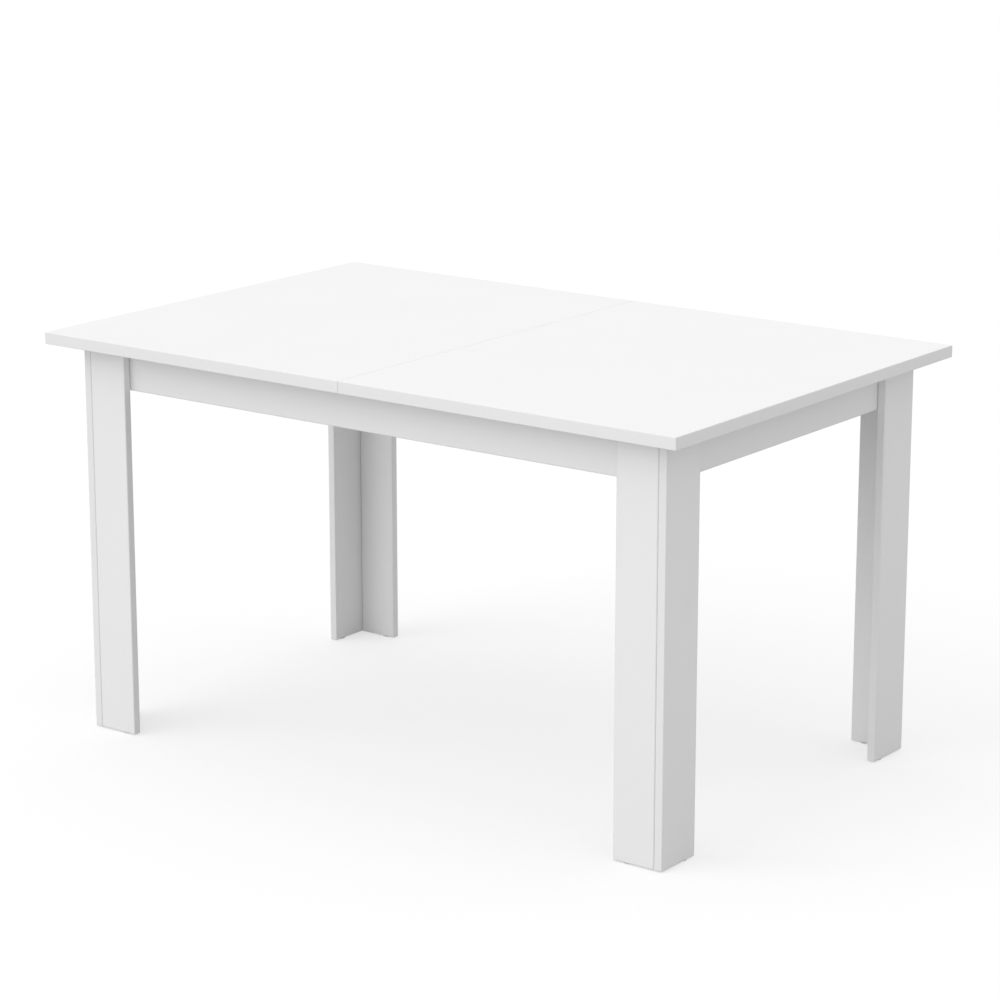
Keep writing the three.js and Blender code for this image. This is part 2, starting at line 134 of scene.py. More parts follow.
class HardwareSettings(bpy.types.PropertyGroup):
    steel_colour: FloatVectorProperty(
        name="Zinc colour",
        description="Colour of the bright zinc plating",
        subtype="COLOR", min=0, max=1, default=linear("#C6C9CD"),
    )
    slide_steel: FloatProperty(
        name="Slide sheet",
        description="Sheet thickness of the slides' channels and runners",
        unit="LENGTH", subtype="DISTANCE", default=1.5 * MM,
    )
    bend_radius: FloatProperty(
        name="Bend radius",
        description="Radius of the sheet's middle at each fold of a slide",
        unit="LENGTH", subtype="DISTANCE", default=1.3 * MM,
    )
    channel_lip: FloatProperty(
        name="Channel lip",
        description="Height of the channel's turned-in lips, below the flange",
        unit="LENGTH", subtype="DISTANCE", default=1.8 * MM,
    )
    runner_lip: FloatProperty(
        name="Runner lip",
        description="Height of the runner's turned-out lips, above the flange",
        unit="LENGTH", subtype="DISTANCE", default=1.3 * MM,
    )
    ball_radius: FloatProperty(
        name="Ball radius",
        description="Radius of the bearing balls",
        unit="LENGTH", subtype="DISTANCE", default=1.8 * MM,
    )
    balls_per_row: IntProperty(
        name="Balls per row",
        description="Bearing balls in each of a cage's two rows",
        min=1, default=5,
    )
    cage_steel: FloatProperty(
        name="Cage sheet",
        description="Sheet thickness of the ball cages",
        unit="LENGTH", subtype="DISTANCE", default=0.6 * MM,
    )
    channel_screw_pitch: FloatProperty(
        name="Channel screw pitch",
        description="Distance between the screws that hold a channel to its apron",
        unit="LENGTH", subtype="DISTANCE", default=160 * MM,
    )
    bracket_steel: FloatProperty(
        name="Bracket sheet",
        description="Sheet thickness of the corner brackets",
        unit="LENGTH", subtype="DISTANCE", default=2 * MM,
    )
    bracket_bend: FloatProperty(
        name="Bracket bend",
        description="Radius of the sheet's middle at a bracket's fold",
        unit="LENGTH", subtype="DISTANCE", default=3 * MM,
    )
    screw_head: FloatProperty(
        name="Screw head",
        description="Diameter of the wood screws' heads",
        unit="LENGTH", subtype="DISTANCE", default=8 * MM,
    )
    plate_steel: FloatProperty(
        name="Plate sheet",
        description="Sheet thickness of the latch and keeper plates",
        unit="LENGTH", subtype="DISTANCE", default=2 * MM,
    )
    pivot_head: FloatProperty(
        name="Pivot head",
        description="Height of the latch rivet's head",
        unit="LENGTH", subtype="DISTANCE", default=1.5 * MM,
    )
    plate_screw_inset: FloatProperty(
        name="Plate screw inset",
        description="From a latch or keeper plate's edge to its screws",
        unit="LENGTH", subtype="DISTANCE", default=6 * MM,
    )
    lever_width: FloatProperty(
        name="Lever width",
        description="Width of a latch lever",
        unit="LENGTH", subtype="DISTANCE", default=16 * MM,
    )
    lever_handle: FloatProperty(
        name="Lever handle",
        description="From the pivot to the lever's turned-down end",
        unit="LENGTH", subtype="DISTANCE", default=40 * MM,
    )
    lever_steel: FloatProperty(
        name="Lever sheet",
        description="Sheet thickness of a latch lever",
        unit="LENGTH", subtype="DISTANCE", default=2.5 * MM,
    )
    lever_tip: FloatProperty(
        name="Lever beyond the stud",
        description="From the middle of the hook's throat to the lever's tip",
        unit="LENGTH", subtype="DISTANCE", default=9 * MM,
    )
    throat_clearance: FloatProperty(
        name="Throat clearance",
        description="Room round the keeper's stud in the hook's throat",
        unit="LENGTH", subtype="DISTANCE", default=1 * MM,
    )
    stud_radius: FloatProperty(
        name="Stud radius",
        description="Radius of the keeper's stud and of the lever's pivot",
        unit="LENGTH", subtype="DISTANCE", default=3 * MM,
    )
    lever_open: FloatProperty(
        name="Lever at rest",
        description="How far the stored lever stands open",
        unit="ROTATION", subtype="ANGLE", default=radians(75),
    )


class StageSettings(bpy.types.PropertyGroup):
    camera_place: FloatVectorProperty(
        name="Camera place",
        description="Where the camera stands",
        unit="LENGTH", subtype="TRANSLATION", default=(3.493, -4.657, 1.974),
    )
    camera_azimuth: FloatProperty(
        name="Camera azimuth",
        description="How far the camera looks to the left of straight back",
        unit="ROTATION", subtype="ANGLE", default=radians(36.77),
    )
    camera_elevation: FloatProperty(
        name="Camera elevation",
        description="How far the camera looks down",
        unit="ROTATION", subtype="ANGLE", default=radians(14.55),
    )
    lens: FloatProperty(
        name="Focal length",
        description="Focal length on a 36 mm wide sensor, in millimetres",
        default=116.9,
    )
    floor_size: FloatProperty(
        name="Floor size",
        description="Side of the square floor",
        unit="LENGTH", subtype="DISTANCE", default=80.0,
    )
    floor_glow: FloatProperty(
        name="Floor glow",
        description="Light that the floor shows by itself, which keeps the shadow pale",
        default=0.575,
    )
    floor_fill: FloatProperty(
        name="Floor fill",
        description="Light that the floor gives to the table's undersides",
        default=0.08,
    )
    floor_white: FloatProperty(
        name="Floor white",
        description="Share of the light on it that the floor throws back",
        default=0.41,
    )
    overhead_strength: FloatProperty(
        name="Overhead light",
        description="Strength of the broad light from above",
        default=0.3,
    )
    key_strength: FloatProperty(
        name="Front light",
        description="Strength of the broad light from the front left",
        default=1.0,
    )
    sky: FloatProperty(
        name="Room brightness",
        description="Brightness of the room round the table",
        default=0.84,
    )


# ---- modelling helpers ----


def take_hold(obj):
    """Leaves nothing selected but this object, and makes it active."""
    bpy.ops.object.select_all(action="DESELECT")
    obj.select_set(True)
    bpy.context.view_layer.objects.active = obj


def settle(obj):
    """Moves an object's place, turn and size into its mesh."""
    take_hold(obj)
    bpy.ops.object.transform_apply(location=True, rotation=True, scale=True)


def block(low, high):
    """A box between two corners."""
    low, high = Vector(low), Vector(high)
    bpy.ops.object.select_all(action="DESELECT")
    bpy.ops.mesh.primitive_cube_add(size=1, location=(low + high) / 2, scale=high - low)
    obj = bpy.context.active_object
    settle(obj)
    return obj


def rod(radius, start, end, sides=48):
    """A round bar from one point to another."""
    start, end = Vector(start), Vector(end)
    along = end - start
    bpy.ops.object.select_all(action="DESELECT")
    bpy.ops.mesh.primitive_cylinder_add(
        vertices=sides,
        radius=radius,
        depth=along.length,
        location=(start + end) / 2,
        rotation=along.to_track_quat("Z", "Y").to_euler(),
    )
    obj = bpy.context.active_object
    settle(obj)
    return obj


def edit(obj, kind="FACE"):
    """Opens an object's mesh for editing with nothing selected."""
    take_hold(obj)
    bpy.ops.object.mode_set(mode="EDIT")
    bpy.ops.mesh.select_mode(type=kind)
    bpy.ops.mesh.select_all(action="DESELECT")


def done():
    """Closes the mesh that is open for editing."""
    bpy.ops.object.mode_set(mode="OBJECT")


def select(obj, kind, test):
    """Selects the faces or edges, of the mesh that is open for editing, that pass a test."""
    bpy.ops.mesh.select_mode(type=kind)
    bpy.ops.mesh.select_all(action="DESELECT")
    mesh = bmesh.from_edit_mesh(obj.data)
    for part in mesh.faces if kind == "FACE" else mesh.edges:
        if test(part):
            part.select_set(True)
    bmesh.update_edit_mesh(obj.data)


def round_rim(obj, height, radius, segments):
    """Rounds the edges that lie flat at one height."""
    edit(obj)
    select(obj, "EDGE", lambda edge: all(abs(v.co.z - height) < NEAR for v in edge.verts))
    bpy.ops.mesh.bevel(offset=radius, segments=segments, affect="EDGES")
    done()


def paint(obj, slot):
    """Gives the selected faces one of the object's materials."""
    obj.active_material_index = slot
    bpy.ops.object.material_slot_assign()


def point_outwards(obj):
    """Turns every face of a closed piece to look outwards."""
    edit(obj)
    bpy.ops.mesh.select_all(action="SELECT")
    bpy.ops.mesh.normals_make_consistent(inside=False)
    done()


def apply_modifier(obj, kind, **settings):
    """Runs one modifier, with the given settings, over an object's mesh."""
    take_hold(obj)
    modifier = obj.modifiers.new(kind.title(), kind)
    for name, value in settings.items():
        setattr(modifier, name, value)
    bpy.ops.object.modifier_apply(modifier=modifier.name)


def cut_away(obj, cutters):
    """Cuts each of the other objects out of this one, and removes them."""
    for cutter in cutters:
        apply_modifier(obj, "BOOLEAN", object=cutter, operation="DIFFERENCE", solver="EXACT")
        bpy.data.objects.remove(cutter)


def ease_edges(obj, width, segments=2, degrees=40):
    """Takes the sharpness off every edge that turns more than the given angle."""
    limit = radians(degrees)
    apply_modifier(obj, "BEVEL", width=width, segments=segments, limit_method="ANGLE", angle_limit=limit)


def join(objects):
    """Makes several objects one, under the first one's name."""
    bpy.ops.object.select_all(action="DESELECT")
    for obj in objects:
        obj.select_set(True)
    bpy.context.view_layer.objects.active = objects[0]
    bpy.ops.object.join()
    return objects[0]


def copied(obj, placing):
    """A copy with its own mesh, moved, turned or mirrored by a matrix."""
    take_hold(obj)
    bpy.ops.object.duplicate()
    copy = bpy.context.active_object
    copy.matrix_world = placing
    settle(copy)
    if placing.determinant() < 0:
        point_outwards(copy)
    return copy


def to_sides(piece):
    """A front piece and its mirror image at the rear, each with the name of its side."""
    return [(piece, "front"), (copied(piece, Matrix.Diagonal((1, -1, 1, 1))), "rear")]


def to_ends(piece):
    """A left-hand piece and its mirror image at the right, each with the name of its end."""
    return [(piece, "left"), (copied(piece, Matrix.Diagonal((-1, 1, 1, 1))), "right")]


def to_corners(piece):
    """A front left piece and its mirror images, each with the names of its side and end."""
    return [(one, f"{side}_{end}") for half, end in to_ends(piece) for one, side in to_sides(half)]


def finish_piece(obj, name, body, materials=(), nodes=(), degrees=35):
    """Dresses a piece, and says which body carries it and which solids it stands for.

    Roundings are shaded smooth, and the large flat faces set the shading where they meet them.
    """
    obj.name = name
    if materials:
        obj.data.materials.clear()
        for one in materials:
            obj.data.materials.append(one)
    take_hold(obj)
    bpy.ops.object.shade_smooth_by_angle(angle=radians(degrees))
    apply_modifier(obj, "WEIGHTED_NORMAL", keep_sharp=True)
    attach(obj, body)
    if nodes:
        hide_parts(*nodes)


def finish_steel(copies, word, suffix, replaces=True):
    """Finishes zinc-plated copies that ride with, and may replace, the solid of their side or corner."""
    for piece, where in copies:
        node = f"{where}_{word}"
        nodes = [node] if replaces else []
        zinc = [finish_of(make_zinc)]
        finish_piece(piece, f"{node}_{suffix}", body_of_node(node), zinc, nodes)


def body_of_node(node):
    """The body that a solid moves with, by the part's record."""
    for body, nodes in frame["record"]["behaviour"]["bodies"].items():
        if node in nodes:
            return body
    raise ValueError(f"no body holds {node}")


def middle_of(node):
    """The middle of a solid's box."""
    low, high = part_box(node)
    return (low + high) / 2


# ---- materials ----


def add_node(tree, kind, inputs=(), stops=(), **settings):
    """Adds a shader node with its settings, its inputs set or linked, and a colour ramp's stops."""
    new = tree.nodes.new(kind)
    for name, value in settings.items():
        setattr(new, name, value)
    for name, value in dict(inputs).items():
        if isinstance(value, bpy.types.NodeSocket):
            tree.links.new(value, new.inputs[name])
        else:
            new.inputs[name].default_value = value
    if stops:
        elements = new.color_ramp.elements
        while len(elements) < len(stops):
            elements.new(1)
        for element, (position, colour) in zip(elements, stops):
            element.position = position
            element.color = (*linear(colour), 1)
    return new


def new_material(name):
    """An empty material, its node tree and its coordinates in metres."""
    made = bpy.data.materials.new(name)
    made.use_nodes = True
    made.node_tree.nodes.clear()
    place = add_node(made.node_tree, "ShaderNodeTexCoord").outputs["Object"]
    return made, made.node_tree, place


def per_metre(millimetres):
    """Scale of a texture whose features are this far apart."""
    return 1000 / millimetres


def shade(colour, factor):
    """A colour made a little lighter or darker."""
    return (*(min(1.0, c * factor) for c in colour), 1)


def make_melamine():
    # Decor paper soaked in melamine resin and pressed on particle board against a satin steel plate:
    # an even white with a soft sheen, and a pearl so fine that it only blurs what the surface reflects.
    white = bpy.context.scene.table_boards.face_colour
    made, tree, place = new_material("Satin white melamine facing")
    cloud = add_node(tree, "ShaderNodeTexNoise", {"Vector": place, "Scale": per_metre(180), "Detail": 3})
    tones = {0: cloud.outputs["Fac"], 6: shade(white, 0.988), 7: shade(white, 1.008)}
    colour = add_node(tree, "ShaderNodeMix", tones, data_type="RGBA")
    # The press plate's pearl is about 0.3 mm across. It is drawn at 1.2 mm, so that it still shows.
    pearl = add_node(tree, "ShaderNodeTexNoise", {"Vector": place, "Scale": per_metre(1.2), "Detail": 2})
    height = pearl.outputs["Fac"]
    sheen = add_node(tree, "ShaderNodeMapRange", {"Value": height, "To Min": 0.36, "To Max": 0.46})
    relief = add_node(tree, "ShaderNodeBump", {"Height": height, "Distance": 0.02 * MM, "Strength": 0.5})
    shader = add_node(tree, "ShaderNodeBsdfPrincipled", {
        "Base Color": colour.outputs[2],
        "Roughness": sheen.outputs["Result"],
        "Normal": relief.outputs["Normal"],
        "IOR": 1.52,
    })
    add_node(tree, "ShaderNodeOutputMaterial", {"Surface": shader.outputs["BSDF"]})
    return made


def make_edging():
    # Extruded ABS edging, glued on and scraped flush: the facing's white, slightly glossier, with
    # faint marks where the scraper chattered.
    white = bpy.context.scene.table_boards.band_colour
    made, tree, place = new_material("Scraped white ABS edging")
    cloud = add_node(tree, "ShaderNodeTexNoise", {"Vector": place, "Scale": per_metre(90), "Detail": 2})
    tones = {0: cloud.outputs["Fac"], 6: shade(white, 0.985), 7: shade(white, 1.0)}
    colour = add_node(tree, "ShaderNodeMix", tones, data_type="RGBA")
    chatter = add_node(tree, "ShaderNodeTexNoise", {"Vector": place, "Scale": per_metre(3), "Detail": 1})
    height = chatter.outputs["Fac"]
    gloss = add_node(tree, "ShaderNodeMapRange", {"Value": height, "To Min": 0.3, "To Max": 0.42})
    relief = add_node(tree, "ShaderNodeBump", {"Height": height, "Distance": 0.015 * MM, "Strength": 0.4})
    shader = add_node(tree, "ShaderNodeBsdfPrincipled", {
        "Base Color": colour.outputs[2],
        "Roughness": gloss.outputs["Result"],
        "Normal": relief.outputs["Normal"],
        "IOR": 1.54,
    })
    add_node(tree, "ShaderNodeOutputMaterial", {"Surface": shader.outputs["BSDF"]})
    return made


def make_particle_board():
    # Sawn particle board where no edging covers it: pressed wood chips of one to three millimetres
    # in pale browns with finer dust between them, rough and full of small voids, whose shade is painted
    # into the colour as dark brown.
    made, tree, place = new_material("Sawn particle board")
    browns = ((0.0, "#A58659"), (0.3, "#BC9E70"), (0.7, "#CFB68A"), (1.0, "#DEC9A4"))
    wood = []
    for chip in (2.2, 0.8):
        cells = add_node(tree, "ShaderNodeTexVoronoi", {"Vector": place, "Scale": per_metre(chip)})
        tone = add_node(tree, "ShaderNodeSeparateColor", {"Color": cells.outputs["Color"]})
        ramp = add_node(tree, "ShaderNodeValToRGB", {"Fac": tone.outputs["Red"]}, browns)
        wood.append((cells, ramp.outputs["Color"]))
    (chips, coarse), (_, fine) = wood
    blend = add_node(tree, "ShaderNodeTexNoise", {"Vector": place, "Scale": per_metre(5), "Detail": 3})
    layers = {0: blend.outputs["Fac"], 6: coarse, 7: fine}
    board = add_node(tree, "ShaderNodeMix", layers, data_type="RGBA")
    # Painted shade: where this noise is low, the colour is mixed towards dark brown, which stands in for
    # the shadow inside the voids between chips.
    voids = add_node(tree, "ShaderNodeTexNoise", {"Vector": place, "Scale": per_metre(1.1), "Detail": 4})
    limits = {"Value": voids.outputs["Fac"], "To Min": 0.35, "To Max": -0.25}
    dark = add_node(tree, "ShaderNodeMapRange", limits)
    void_shade = {0: dark.outputs["Result"], 6: board.outputs[2], 7: (*linear("#6E5537"), 1)}
    colour = add_node(tree, "ShaderNodeMix", void_shade, data_type="RGBA")
    height = chips.outputs["Distance"]
    relief = add_node(tree, "ShaderNodeBump", {"Height": height, "Distance": 0.2 * MM, "Strength": 0.7})
    shader = add_node(tree, "ShaderNodeBsdfPrincipled", {
        "Base Color": colour.outputs[2],
        "Roughness": 0.85,
        "Normal": relief.outputs["Normal"],
        "IOR": 1.45,
    })
    add_node(tree, "ShaderNodeOutputMaterial", {"Surface": shader.outputs["BSDF"]})
    return made


def make_zinc():
    # Cold-rolled steel strip, roll-formed and bright zinc plated: a slightly blue grey metal with
    # faint rolling lines along the strip and a patchy sheen from the plating bath.
    zinc = bpy.context.scene.table_hardware.steel_colour
    made, tree, place = new_material("Bright zinc-plated steel")
    bath = add_node(tree, "ShaderNodeTexNoise", {"Vector": place, "Scale": per_metre(14), "Detail": 3})
    patches = bath.outputs["Fac"]
    tones = {0: patches, 6: shade(zinc, 0.9), 7: shade(zinc, 1.05)}
    colour = add_node(tree, "ShaderNodeMix", tones, data_type="RGBA")
    # Rolling lines are under 0.1 mm apart. They are drawn at 0.5 mm, so that they still show.
    drawn = add_node(tree, "ShaderNodeMapping", {"Vector": place, "Scale": (0.03, 1, 1)})
    rolled = {"Vector": drawn.outputs["Vector"], "Scale": per_metre(0.5), "Detail": 3}
    lines = add_node(tree, "ShaderNodeTexNoise", rolled).outputs["Fac"]
    both = add_node(tree, "ShaderNodeMath", {0: lines, 1: patches}, operation="MULTIPLY")
    limits = {"Value": both.outputs["Value"], "To Min": 0.22, "To Max": 0.55}
    sheen = add_node(tree, "ShaderNodeMapRange", limits)
    relief = add_node(tree, "ShaderNodeBump", {"Height": lines, "Distance": 0.01 * MM, "Strength": 0.6})
    shader = add_node(tree, "ShaderNodeBsdfPrincipled", {
        "Base Color": colour.outputs[2],
        "Metallic": 1.0,
        "Roughness": sheen.outputs["Result"],
        "Normal": relief.outputs["Normal"],
    })
    add_node(tree, "ShaderNodeOutputMaterial", {"Surface": shader.outputs["BSDF"]})
    return made


def make_spring_strip():
    # Thin spring strip, punched and left with its mill finish under a film of grease: darker and
    # smoother than the plated parts.
    made, tree, place = new_material("Greased spring steel strip")
    grease = add_node(tree, "ShaderNodeTexNoise", {"Vector": place, "Scale": per_metre(6), "Detail": 3})
    film = grease.outputs["Fac"]
    colour = add_node(tree, "ShaderNodeValToRGB", {"Fac": film}, ((0.3, "#8B8D90"), (0.7, "#A9ABAE")))
    sheen = add_node(tree, "ShaderNodeMapRange", {"Value": film, "To Min": 0.2, "To Max": 0.42})
    relief = add_node(tree, "ShaderNodeBump", {"Height": film, "Distance": 0.02 * MM, "Strength": 0.4})
    shader = add_node(tree, "ShaderNodeBsdfPrincipled", {
        "Base Color": colour.outputs["Color"],
        "Metallic": 1.0,
        "Roughness": sheen.outputs["Result"],
        "Normal": relief.outputs["Normal"],
    })
    add_node(tree, "ShaderNodeOutputMaterial", {"Surface": shader.outputs["BSDF"]})
    return made


def make_bearing_steel():
    # Hardened chromium steel balls, lapped to a mirror, with thin streaks of grease.
    made, tree, place = new_material("Lapped bearing steel")
    grease = add_node(tree, "ShaderNodeTexNoise", {"Vector": place, "Scale": per_metre(1.5), "Detail": 2})
    streaks = grease.outputs["Fac"]
    colour = add_node(tree, "ShaderNodeValToRGB", {"Fac": streaks}, ((0.4, "#C9CBCE"), (0.8, "#B5B2A4")))
    sheen = add_node(tree, "ShaderNodeMapRange", {"Value": streaks, "To Min": 0.06, "To Max": 0.2})
    shader = add_node(tree, "ShaderNodeBsdfPrincipled", {
        "Base Color": colour.outputs["Color"],
        "Metallic": 1.0,
        "Roughness": sheen.outputs["Result"],
    })
    add_node(tree, "ShaderNodeOutputMaterial", {"Surface": shader.outputs["BSDF"]})
    return made


def make_polyethylene():
    # Moulded polyethylene: waxy off-white that lets a little light in.
    made, tree, place = new_material("Moulded white polyethylene")
    flow = add_node(tree, "ShaderNodeTexNoise", {"Vector": place, "Scale": per_metre(2.5), "Detail": 2})
    waxy = flow.outputs["Fac"]
    colour = add_node(tree, "ShaderNodeValToRGB", {"Fac": waxy}, ((0.2, "#E4E4DF"), (0.8, "#EDEDE9")))
    relief = add_node(tree, "ShaderNodeBump", {"Height": waxy, "Distance": 0.02 * MM, "Strength": 0.5})
    shader = add_node(tree, "ShaderNodeBsdfPrincipled", {
        "Base Color": colour.outputs["Color"],
        "Roughness": 0.5,
        "Normal": relief.outputs["Normal"],
        "IOR": 1.51,
        "Subsurface Weight": 0.15,
        "Subsurface Radius": (1.0, 0.9, 0.8),
        "Subsurface Scale": 1.5 * MM,
    })
    add_node(tree, "ShaderNodeOutputMaterial", {"Surface": shader.outputs["BSDF"]})
    return made


def make_beech(way, stretch):
    # Turned beech, bare: pale pinkish brown, with short dark flecks that follow the grain.
    made, tree, place = new_material(f"Bare turned beech, grain {way}")
    grain = add_node(tree, "ShaderNodeMapping", {"Vector": place, "Scale": stretch}).outputs["Vector"]
    growth = {"Vector": grain, "Scale": per_metre(1.6), "Detail": 4, "Roughness": 0.6}
    bands = add_node(tree, "ShaderNodeTexNoise", growth).outputs["Fac"]
    pinks = ((0.25, "#C49A6C"), (0.55, "#D9B58A"), (0.85, "#E6C9A3"))
    wood = add_node(tree, "ShaderNodeValToRGB", {"Fac": bands}, pinks)
    rays = add_node(tree, "ShaderNodeTexVoronoi", {"Vector": grain, "Scale": per_metre(0.7)})
    limits = {"Value": rays.outputs["Distance"], "To Min": 0.35, "To Max": 0.0}
    dark = add_node(tree, "ShaderNodeMapRange", limits)
    flecks = {0: dark.outputs["Result"], 6: wood.outputs["Color"], 7: (*linear("#8E6238"), 1)}
    colour = add_node(tree, "ShaderNodeMix", flecks, data_type="RGBA")
    relief = add_node(tree, "ShaderNodeBump", {"Height": bands, "Distance": 0.06 * MM, "Strength": 0.6})
    shader = add_node(tree, "ShaderNodeBsdfPrincipled", {
        "Base Color": colour.outputs[2],
        "Roughness": 0.62,
        "Normal": relief.outputs["Normal"],
        "IOR": 1.5,
    })
    add_node(tree, "ShaderNodeOutputMaterial", {"Surface": shader.outputs["BSDF"]})
    return made


def make_felt():
    # Pressed wool felt: matted grey fibres with a soft bloom at grazing angles.
    made, tree, place = new_material("Pressed grey felt")
    # Wool is about 0.03 mm thick. Its mat is drawn at 0.5 mm, so that it still shows.
    matted = {"Vector": place, "Scale": per_metre(0.5), "Detail": 6, "Roughness": 0.75}
    fibres = add_node(tree, "ShaderNodeTexNoise", matted).outputs["Fac"]
    greys = ((0.3, "#85857F"), (0.5, "#A4A49F"), (0.75, "#BDBDB8"))
    colour = add_node(tree, "ShaderNodeValToRGB", {"Fac": fibres}, greys)
    relief = add_node(tree, "ShaderNodeBump", {"Height": fibres, "Distance": 0.4 * MM, "Strength": 0.9})
    shader = add_node(tree, "ShaderNodeBsdfPrincipled", {
        "Base Color": colour.outputs["Color"],
        "Roughness": 1.0,
        "Normal": relief.outputs["Normal"],
        "Sheen Weight": 0.5,
        "Sheen Roughness": 0.5,
    })
    add_node(tree, "ShaderNodeOutputMaterial", {"Surface": shader.outputs["BSDF"]})
    return made


finishes = {}


def finish_of(make, *details):
    """A material, made the first time that a piece asks for it."""
    key = (make.__name__, *details)
    if key not in finishes:
        finishes[key] = make(*details)
    return finishes[key]


# ---- boards ----

EDGING, FACING, RAW = 0, 1, 2


def add_board(node, radius, raw_axis=None):
    """A melamine-faced board in a solid's place: rounded edging, and faces inside a scraped joint line.

    raw_axis is the axis whose two ends have no edging.
    """
    settings = bpy.context.scene.table_boards
    low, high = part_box(node)
    size = high - low
    thin = min(range(3), key=lambda axis: size[axis])
    board = block(low, high)
    for make in (make_edging, make_melamine, make_particle_board):
        board.data.materials.append(finish_of(make))

    edit(board, "EDGE")
    bpy.ops.mesh.select_all(action="SELECT")
    bpy.ops.mesh.bevel(offset=radius, segments=4, affect="EDGES")
    bpy.ops.mesh.select_all(action="SELECT")
    paint(board, EDGING)
    select(board, "FACE", lambda face: abs(face.normal[thin]) > FLAT)
    line, depth = settings.band_line_width, settings.band_line_depth
    bpy.ops.mesh.inset(thickness=settings.band_line_inset, depth=0)
    bpy.ops.mesh.inset(thickness=line, depth=-depth)
    bpy.ops.mesh.inset(thickness=line, depth=depth)
    paint(board, FACING)
    if raw_axis is not None:
        select(board, "FACE", lambda face: abs(face.normal[raw_axis]) > FLAT)
        paint(board, RAW)
    done()
    return board


def bore_sockets(board, dowels, along):
    """Bores the round sockets that the dowels sit and slide in, and shows raw board inside them."""
    clearance = bpy.context.scene.table_boards.socket_clearance
    cutters = []
    walls = []
    for low, high in dowels:
        middle = (low + high) / 2
        radius = (high.z - low.z) / 2 + clearance
        half = (high - low).dot(along) / 2 + clearance
        cutters.append(rod(radius, middle - along * half, middle + along * half))
        walls.append((middle, radius + NEAR, half + NEAR))
    cut_away(board, cutters)

    def in_bore(point, middle, radius, half):
        offset = point - middle
        depth = offset.dot(along)
        return (offset - along * depth).length < radius and abs(depth) < half

    def inside(face):
        return any(all(in_bore(v.co, *wall) for v in face.verts) for wall in walls)

    edit(board)
    select(board, "FACE", inside)
    paint(board, RAW)
    done()


def finish_board(board, node):
    """Finishes a board, which already has its three materials, in its solid's place."""
    finish_piece(board, f"{node}_faced", body_of_node(node), nodes=[node])


class TABLE_OT_top_halves(bpy.types.Operator):
    """The two halves of the top, with the sockets for the seam's dowels"""

    bl_idname = "table.top_halves"
    bl_label = "Top halves"

    def execute(self, context):
        half = add_board("left_top", context.scene.table_boards.top_edge_radius)
        bore_sockets(half, [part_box(f"seam_dowel_{i}") for i in (1, 2, 3)], Vector((1, 0, 0)))
        for board, end in to_ends(half):
            finish_board(board, f"{end}_top")
        return {"FINISHED"}


class TABLE_OT_insert_leaf(bpy.types.Operator):
    """The spare leaf, stored a quarter turn round inside the frame"""

    bl_idname = "table.insert_leaf"
    bl_label = "Insert leaf"

    def execute(self, context):
        leaf = add_board("insert_leaf", context.scene.table_boards.top_edge_radius)
        low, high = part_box("insert_leaf")
        across = Vector((0, low.y - high.y, 0))
        dowels = [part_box(f"leaf_dowel_{i}") for i in (1, 2, 3)]
        dowels += [(near + across, far + across) for near, far in dowels]
        bore_sockets(leaf, dowels, Vector((0, 1, 0)))
        finish_board(leaf, "insert_leaf")
        return {"FINISHED"}


class TABLE_OT_aprons(bpy.types.Operator):
    """The four aprons of the fixed frame"""

    bl_idname = "table.aprons"
    bl_label = "Aprons"

    def execute(self, context):
        radius = context.scene.table_boards.frame_edge_radius
        long_apron = add_board("front_apron", radius, raw_axis=0)
        short_apron = add_board("left_apron", radius, raw_axis=1)
        for board, word in to_sides(long_apron) + to_ends(short_apron):
            finish_board(board, f"{word}_apron")
        return {"FINISHED"}


class TABLE_OT_legs(bpy.types.Operator):
    """The four L-shaped legs, each of a side board and a face board"""

    bl_idname = "table.legs"
    bl_label = "Legs"

    def execute(self, context):
        for part in ("side", "face"):
            radius = context.scene.table_boards.frame_edge_radius
            for board, corner in to_corners(add_board(f"front_left_leg_{part}_board", radius)):
                finish_board(board, f"{corner}_leg_{part}_board")
        return {"FINISHED"}


class TABLE_OT_battens_and_rails(bpy.types.Operator):
    """The battens that carry the top on its slides with their screws, and the rails under the leaf"""

    bl_idname = "table.battens_and_rails"
    bl_label = "Battens and leaf rails"

    def execute(self, context):
        radius = context.scene.table_boards.rail_edge_radius
        for board, end in to_ends(add_board("left_leaf_rail", radius, raw_axis=1)):
            finish_board(board, f"{end}_leaf_rail")
        for board, corner in to_corners(add_board("front_left_batten", radius, raw_axis=0)):
            finish_board(board, f"{corner}_batten")

        low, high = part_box("front_left_batten")
        y = (low.y + high.y) / 2
        xs = [low.x + share * (high.x - low.x) for share in (0.1, 0.5, 0.9)]
        screws = set_screws([((x, y, low.z), (0, 0, -1)) for x in xs], sunk=True)
        finish_steel(to_corners(screws), "batten", "screws", replaces=False)
        return {"FINISHED"}


# ---- small fittings of plastic, wood and felt ----


class TABLE_OT_glides(bpy.types.Operator):
    """The plastic glides under the leg boards"""

    bl_idname = "table.glides"
    bl_label = "Glides"

    def execute(self, context):
        low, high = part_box("front_left_leg_side_glide")
        middle = (low + high) / 2
        radius = (high.x - low.x) / 2
        glide = rod(radius, (middle.x, middle.y, low.z), (middle.x, middle.y, high.z))
        round_rim(glide, low.z, 0.5 * MM, 3)
        # A shallow moulded ring on the sole, where the gate was trimmed.
        edit(glide)
        select(glide, "FACE", lambda face: face.normal.z < -FLAT)
        bpy.ops.mesh.inset(thickness=radius * 0.45)
        bpy.ops.mesh.inset(thickness=0.15 * MM, depth=-0.15 * MM)
        done()
        other = copied(glide, Matrix.Translation(middle_of("front_left_leg_face_glide") - middle))
        waxy = [finish_of(make_polyethylene)]
        for one, part in ((glide, "side"), (other, "face")):
            for piece, corner in to_corners(one):
                node = f"{corner}_leg_{part}_glide"
                finish_piece(piece, f"{node}_moulding", "frame", waxy, [node])
        return {"FINISHED"}


